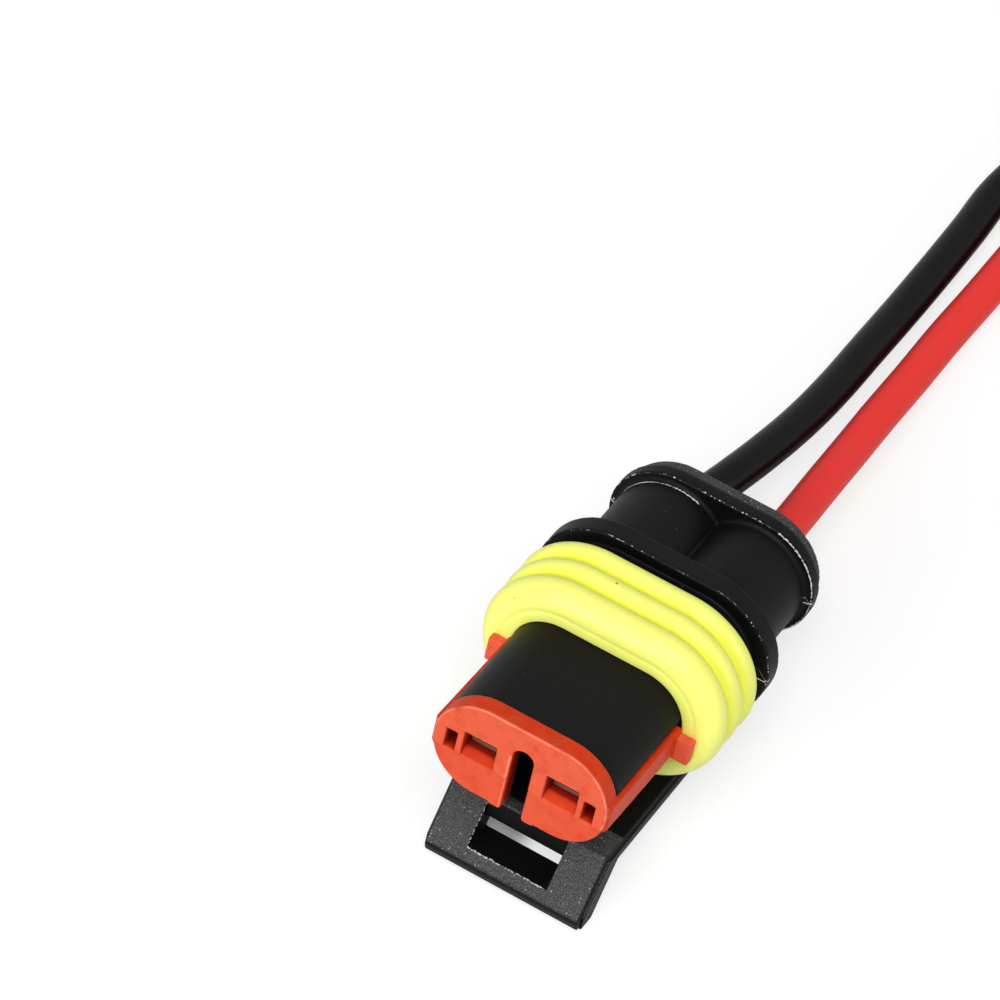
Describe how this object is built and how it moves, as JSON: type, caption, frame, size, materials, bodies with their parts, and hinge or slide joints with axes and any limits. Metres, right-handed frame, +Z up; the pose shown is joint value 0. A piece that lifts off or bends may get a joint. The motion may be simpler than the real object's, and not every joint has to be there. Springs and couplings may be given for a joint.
{
  "type": "sealed automotive connector plug",
  "caption": "Sealed oval wiring plug with ribbed interface seal, secondary lock, flexing side latch and a pair of insulated leads with stripped ends.",
  "frame": {"origin": "on the table under the middle of the plug, leads left aside", "axes": "+Z up; +Y towards the leads, level; +X to the right seen from the mating end. The plug's own axis leans 13.7 degrees, mating end up, because it lies on its latch."},
  "size_m": [0.0353, 0.0862, 0.0167],
  "materials": {
    "nylon_black": "satin moulded, spark-eroded grain on the latch's front",
    "silicone_yellow": "oiled silicone, satin",
    "nylon_orange": "satin moulded",
    "tinned_brass": "tin plated",
    "silicone_tan": "oiled silicone",
    "insulation_black": "extruded, glossy",
    "insulation_red": "extruded, semi-gloss",
    "copper_strand": "tinned strands"
  },
  "bodies": {
    "housing": {"housing": "nylon_black", "interface_seal": "silicone_yellow", "contact_left": "tinned_brass", "contact_right": "tinned_brass", "wire_seal_left": "silicone_tan", "wire_seal_right": "silicone_tan", "lead_stub_left": "insulation_black", "lead_stub_right": "insulation_red", "core_left": "copper_strand", "core_right": "copper_strand", "black_lead": "insulation_black", "red_lead": "insulation_red", "black_tail": "copper_strand", "red_tail": "copper_strand"},
    "latch": {"latch": "nylon_black"},
    "secondary_lock": {"secondary_lock": "nylon_orange"}
  },
  "joints": [
    {"name": "latch_flex", "type": "hinge", "parent": "housing", "child": "latch", "pos_m": [0, 0.00138, 0.00111], "axis": [1, 0, 0], "range_deg": [-1.5, 5], "stiffness_Nm_per_rad": 0.5},
    {"name": "lock_slide", "type": "slide", "parent": "housing", "child": "secondary_lock", "axis": [0, -0.9714, 0.2373], "range_m": [0, 0.002]}
  ]
}
